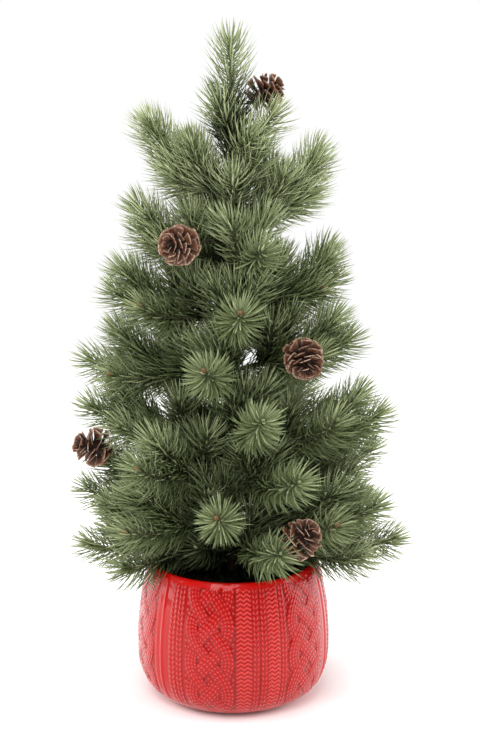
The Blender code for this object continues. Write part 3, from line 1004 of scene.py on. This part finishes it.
class TREE_OT_add_moss(bpy.types.Operator):
    """Lay a lumpy mat of dark moss under the lip."""

    bl_idname = "tree.add_moss"
    bl_label = "Moss mat"

    def execute(self, context):
        low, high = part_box("moss_cover")
        rim, hole = high.x - 0.0010, WRAP_RADIUS + 0.0006
        top = high.z - 0.0020
        steps = np.linspace(rim - 0.0015, hole, 40)
        rings = [(hole, low.z, 0.0), (rim - 0.004, low.z, 0.0), (rim - 0.0008, low.z + 0.0015, 0.0),
                 (rim, low.z + 0.003, 0.0)]
        rings += [(radius, top + 0.0010 * sin(i * 0.9), 0.0) for i, radius in enumerate(steps)]
        mat = drawn("moss_mat", 150, rings, hollow=True)
        self.roughen(mat, low.z + 0.002)
        finish = moss_finish()
        mat.data.materials.append(finish)
        mat.data.shade_smooth()
        stand_for(mat, "stand", "dark_moss", "moss_cover")
        stand_for(self.strands(rim, top, finish), "stand", "dark_moss")
        return {"FINISHED"}

    def roughen(self, mat, floor):
        """Push the mat's upper side up and down in tufts."""
        tufts = bpy.data.textures.new("tufts", "CLOUDS")
        tufts.noise_scale = 0.007
        lift = mat.modifiers.new("Tufts", "DISPLACE")
        lift.texture = tufts
        lift.strength = 0.006
        lift.direction = "Z"
        lift.mid_level = 0.35
        upper = mat.vertex_groups.new(name="upper")
        points = points_of(mat.data)
        chosen = np.nonzero(points[:, 2] > floor)[0]
        upper.add([int(i) for i in chosen], 1.0, "REPLACE")
        lift.vertex_group = upper.name
        bpy.context.view_layer.objects.active = mat
        bpy.ops.object.modifier_apply(modifier=lift.name)

    def strands(self, rim, top, finish):
        """Loose curled fibres that stand out of the mat."""
        rng = np.random.default_rng(77)
        pattern, count = needle_pattern(), FIBRES
        spin = rng.uniform(0, tau, count)
        radius = np.sqrt(rng.uniform(0.02, 0.93, count)) * rim
        lean = rng.uniform(radians(35), radians(88), count)
        aim = rng.uniform(0, tau, count)
        up = np.stack([np.sin(lean) * np.cos(aim), np.sin(lean) * np.sin(aim), np.cos(lean)], -1)
        bend = unit(np.cross(up, rng.normal(size=(count, 3))))
        across = np.cross(up, bend)
        size = np.minimum(rng.uniform(0.004, 0.010, count), np.maximum(rim - radius, 0.002))
        level = np.full(count, top + 0.0005)
        foot = np.stack([radius * np.cos(spin), radius * np.sin(spin), level], -1)
        thick = np.full(count, FIBRE_WIDTH)
        cluster = Cluster("moss_strands", ("along",))
        cluster.add(pattern, spread(pattern.points, foot, bend, across, up,
                                    size * FIBRE_BEND, thick, size))
        return cluster.piece(finish)


# ---------------------------------------------------------------- pot

# Knit layout round the pot, in degrees from the front towards +X; it repeats three times
UNIT = 120
UNIT_START = -54
PLAITS = ((-30, 1, 1), (33, 66, -1))    # first and last degree, and which way it turns
# First and last degree, and the band's height as a share of the relief's depth
CHEVRONS = ((1.2, 11.2, 0.30), (20.2, 28.6, 0.30))
COLUMNS = ((11.2, 15.5, 0.40), (15.9, 20.2, 0.40), (28.6, 33.0, 0.45), (-41.5, -36.0, 0.40),
           (-36.0, -31.0, 0.30))
RIDGES = ((-47.5, 0.8, 0.85), (-52.0, 1.5, 0.25))   # middle and width in degrees, and height
KNIT_RADIUS = 0.087         # stitches keep their size at this radius
SEED = 0.0054               # seed stitch, pitch of its two slanting rows
ZIGZAG_ROW = 0.0038
ZIGZAG_WIDTH = 0.0060
COLUMN_ROW = 0.0046
PLAIT = 0.126               # height in which a plait's strand swings right and back
PLAIT_START = 0.005
STRAND = 0.0062             # half-width of a plait's strand
STRAND_ROW = 0.0033
STRAND_LINE = 0.0030        # width of one line of stitches along a strand


def belly_radius(height):
    """Outer radius of the pot, as in the frame: fuller below the belly, flatter above."""
    drop = np.clip((BELLY_HEIGHT - height) / BELLY_HEIGHT, 0, 1)
    climb = np.clip((height - BELLY_HEIGHT) / (POT_HEIGHT - BELLY_HEIGHT), 0, 1)
    low = FOOT_RADIUS + (BELLY_RADIUS - FOOT_RADIUS) * (1 - drop ** 2.6) ** 0.5
    high = BELLY_RADIUS - (BELLY_RADIUS - MOUTH_RADIUS) * climb ** 2
    return np.where(height < BELLY_HEIGHT, low, high)


def wave(turns):
    """A smooth wave from 0 to 1, at 1 on whole turns."""
    return 0.5 + 0.5 * np.cos(tau * turns)


def zigzag(turns):
    """A straight-sided wave from -1 to 1, at 1 on whole turns."""
    return 4 * np.abs((turns % 1.0) - 0.5) - 1


def ramp(value, low, high):
    """Smooth step from 0 at low to 1 at high."""
    t = np.clip((value - low) / (high - low), 0, 1)
    return t * t * (3 - 2 * t)


def between(value, low, high, soft):
    """1 inside a band, with soft edges."""
    return ramp(value, low, low + soft) * ramp(-value, -high, soft - high)


class Knit:
    """Knit pattern at angles round the pot and heights: its shape, and where its stitches lie.

    A stitch stands where both rows and lines are whole numbers, as strong as knit is there.
    """

    def __init__(self, angle, height):
        self.cell = (angle - UNIT_START) % UNIT + UNIT_START
        self.height = height
        self.shape, self.rows, self.lines, self.knit = np.zeros((4, len(height)))

    def across(self, first, last):
        """Distance from the middle of a panel, and the panel's half width."""
        per_degree = radians(1) * KNIT_RADIUS
        return (self.cell - (first + last) / 2) * per_degree, (last - first) / 2 * per_degree

    def lay(self, where, shape, rows, lines, knit):
        """Put one texture over what is already there."""
        for name, value in (("shape", shape), ("rows", rows), ("lines", lines), ("knit", knit)):
            setattr(self, name, np.where(where, value, getattr(self, name)))

    def chevrons(self, first, last, shape):
        """Rows that run up and down again across a band."""
        across, _ = self.across(first, last)
        rows = (self.height + zigzag(across / ZIGZAG_WIDTH) * 0.0011) / ZIGZAG_ROW
        inside = between(self.cell, first, last, 0.6)
        self.lay(inside > 0, shape * inside, rows, 0.0, inside)

    def column(self, first, last, shape):
        """One column of V stitches with a groove down its middle."""
        across, half = self.across(first, last)
        rows = (self.height - np.abs(across) * 0.9) / COLUMN_ROW
        inside = between(self.cell, first, last, 0.5)
        self.lay(inside > 0, shape * inside, rows, across / half + 0.5, inside)

    def ridge(self, middle, width, shape):
        """A plain upright ridge."""
        self.shape += shape * np.exp(-((self.cell - middle) / width) ** 2)

    def plait(self, first, last, hand):
        """Four wide strands plaited over a seed-stitch ground."""
        across, half = self.across(first, last)
        here = np.abs(across) <= half
        edge = ramp(half - np.abs(across), 0, 0.0008)
        self.lay(here, 0.06, (across + self.height) / SEED, (across - self.height) / SEED, edge)
        for quarter in range(4):
            self.strand(here, across, quarter, hand, half - STRAND - 0.0006)

    def strand(self, here, across, quarter, hand, swing):
        """One strand of a plait, wherever it lies higher than the others."""
        phase = tau * ((self.height + PLAIT_START) / PLAIT + quarter / 4)
        slope = -swing * tau / PLAIT * np.sin(phase)
        beside = across - swing * np.cos(phase)
        away = beside / np.sqrt(1 + slope ** 2)
        dome = np.sqrt(np.clip(1 - (away / STRAND) ** 2, 0, 1))
        shape = (0.66 + hand * 0.24 * np.sin(3 * phase)) * dome ** 0.6
        rows = (self.height + beside * slope / (1 + slope ** 2) + np.abs(away) * 0.25) / STRAND_ROW
        self.lay(here & (dome > 0.12) & (shape > self.shape), shape, rows,
                 away / STRAND_LINE + 0.5, ramp(dome, 0.12, 0.45))


def knit_pattern(angle, height):
    """The whole pattern, at angles in degrees and heights."""
    pattern = Knit(angle, height)
    for texture, bands in ((pattern.plait, PLAITS), (pattern.chevrons, CHEVRONS),
                           (pattern.column, COLUMNS), (pattern.ridge, RIDGES)):
        for band in bands:
            texture(*band)
    return pattern


class TREE_OT_add_pot(bpy.types.Operator):
    """Turn the pot and raise its knit pattern."""

    bl_idname = "tree.add_pot"
    bl_label = "Knit-pattern pot"

    def execute(self, context):
        settings = context.scene.tree_pot
        piece = drawn("knit_pot", settings.columns, self.rings())
        points = points_of(piece.data)
        radius = np.hypot(points[:, 0], points[:, 1])
        height = points[:, 2]
        outer = radius > belly_radius(height) - 0.0005
        fade = ramp(height, 0.004, 0.014) * ramp(-height, -0.1240, -0.1205) * outer
        angle = np.degrees(np.arctan2(points[:, 0], -points[:, 1]))
        pattern = knit_pattern(angle, height)
        stitches = wave(pattern.rows) * wave(pattern.lines) * pattern.knit
        lift = (settings.depth * pattern.shape + settings.stitch * stitches) * fade
        points[:, :2] *= (1 + lift / np.maximum(radius, 0.001))[:, None]
        set_points(piece.data, points)
        marks = {"relief": 0.6 + fade * (pattern.shape - 0.6), "rows": pattern.rows,
                 "lines": pattern.lines, "knit": pattern.knit * fade}
        for name, values in marks.items():
            set_mark(piece.data, name, values)
        piece.data.materials.append(glaze_finish(settings))
        piece.data.shade_smooth()
        stand_for(piece, "stand", "red_glaze", "pot")
        return {"FINISHED"}

    def rings(self):
        """Foot, relief wall in even steps along its curve, round lip, inner wall and floor."""
        heights = np.linspace(0.0004, LIP_START, 800)
        walls = belly_radius(heights)
        run = np.concatenate([[0], np.cumsum(np.hypot(np.diff(heights), np.diff(walls)))])
        even = np.interp(np.linspace(0, run[-1], WALL_ROWS), run, heights)
        rings = [(FOOT_RADIUS - 0.008, 0.0012, 0.0), (FOOT_RADIUS - 0.006, 0.0, 0.0),
                 (FOOT_RADIUS, 0.0, 0.0)]
        rings += [(float(belly_radius(z)), float(z), 0.0) for z in even]
        lip = POT_WALL / 2
        turns = [pi * step / LIP_STEPS for step in range(1, LIP_STEPS)]
        rings += [(MOUTH_RADIUS - lip + lip * cos(t), POT_HEIGHT - lip + lip * sin(t), 0.0) for t in turns]
        inner = (LIP_START, 0.112, 0.095, 0.075, BELLY_HEIGHT, 0.032, 0.018, 0.011)
        rings += [(float(belly_radius(z)) - POT_WALL, z, 0.0) for z in inner]
        return rings + [(FOOT_RADIUS - 0.006, POT_FLOOR, 0.0), (0.020, POT_FLOOR, 0.0)]


# ---------------------------------------------------------------- stage

FLOOR_SIZE = 3.2
# Softboxes: name, place, side in metres and power in watts
LIGHTS = (
    ("key", (-0.4, -1.5, 1.8), 1.2, 26),
    ("top", (0.1, 0.1, 2.4), 1.6, 30),
    ("left_box", (-1.3, 0.05, 0.5), 0.9, 12),
    ("right_box", (1.3, 0.05, 0.5), 0.9, 12),
)


def facing(place, target):
    """Rotation of a lamp or camera at a place that faces a target."""
    return (Vector(target) - Vector(place)).to_track_quat("-Z", "Y").to_euler()


class TREE_OT_add_stage(bpy.types.Operator):
    """Plain pale floor, soft studio light and the camera."""

    bl_idname = "tree.add_stage"
    bl_label = "Stage"

    def execute(self, context):
        stage = context.scene.tree_stage
        deselect()
        bpy.ops.mesh.primitive_plane_add(size=FLOOR_SIZE, location=(0, 0, 0))
        floor = context.object
        floor.name = "floor"
        floor.data.materials.append(floor_finish(stage))
        camera = bpy.data.objects.new("camera", bpy.data.cameras.new("camera"))
        context.scene.collection.objects.link(camera)
        camera.location = (0, -stage.distance, stage.height)
        camera.rotation_euler = facing(camera.location, (stage.aside, 0, stage.aim))
        camera.data.lens = stage.lens
        context.scene.camera = camera
        context.scene.world = self.studio_world()
        for softbox in LIGHTS:
            self.add_light(context, *softbox)
        context.scene.view_settings.view_transform = "Standard"
        return {"FINISHED"}

    def studio_world(self):
        """White to the camera, softer as light, and a dim room in the glaze's reflections."""
        world = bpy.data.worlds.new("studio")
        world.use_nodes = True
        nodes, links = world.node_tree.nodes, world.node_tree.links
        path = nodes.new("ShaderNodeLightPath")
        seen = self.blend(nodes, links, path.outputs["Is Camera Ray"], 0.70, 1.0)
        strength = self.blend(nodes, links, path.outputs["Is Glossy Ray"], seen, 0.16)
        background = nodes["Background"]
        background.inputs["Color"].default_value = (1, 1, 1, 1)
        links.new(strength, background.inputs["Strength"])
        return world

    def blend(self, nodes, links, factor, first, second):
        """First or second value, as the factor is 0 or 1."""
        choice = nodes.new("ShaderNodeMix")
        links.new(factor, choice.inputs[0])
        choice.inputs[3].default_value = second
        if isinstance(first, float):
            choice.inputs[2].default_value = first
        else:
            links.new(first, choice.inputs[2])
        return choice.outputs[0]

    def add_light(self, context, name, where, size, power):
        """A square softbox that faces the middle of the tree."""
        lamp = bpy.data.lights.new(name, "AREA")
        lamp.size = size
        lamp.energy = power
        light = bpy.data.objects.new(name, lamp)
        context.scene.collection.objects.link(light)
        light.location = where
        light.rotation_euler = facing(where, (0, 0, 0.3))


# ---------------------------------------------------------------- add-on

SETTINGS = {
    "tree_needles": NeedleSettings,
    "tree_cones": ConeSettings,
    "tree_pot": PotSettings,
    "tree_stage": StageSettings,
}
OPERATORS = (
    TREE_OT_add_stage,
    TREE_OT_add_pot,
    TREE_OT_add_moss,
    TREE_OT_add_trunk,
    TREE_OT_add_sprays,
    TREE_OT_add_cones,
)


class TREE_PT_dressing(bpy.types.Panel):
    """Lists the dressing steps and their settings."""

    bl_idname = "TREE_PT_dressing"
    bl_label = "Tree"
    bl_space_type = "VIEW_3D"
    bl_region_type = "UI"
    bl_category = "Tree"

    def draw(self, context):
        for operator in OPERATORS:
            self.layout.operator(operator.bl_idname)
        for name in SETTINGS:
            group = getattr(context.scene, name)
            box = self.layout.box()
            for field in group.__annotations__:
                box.prop(group, field)


def register():
    for name, group in SETTINGS.items():
        bpy.utils.register_class(group)
        setattr(bpy.types.Scene, name, PointerProperty(type=group))
    for operator in OPERATORS:
        bpy.utils.register_class(operator)
    bpy.utils.register_class(TREE_PT_dressing)


def unregister():
    bpy.utils.unregister_class(TREE_PT_dressing)
    for operator in reversed(OPERATORS):
        bpy.utils.unregister_class(operator)
    for name, group in reversed(SETTINGS.items()):
        delattr(bpy.types.Scene, name)
        bpy.utils.unregister_class(group)


def main():
    register()
    for operator in OPERATORS:
        group, step = operator.bl_idname.split(".")
        getattr(getattr(bpy.ops, group), step)()


if __name__ == "__main__":
    main()
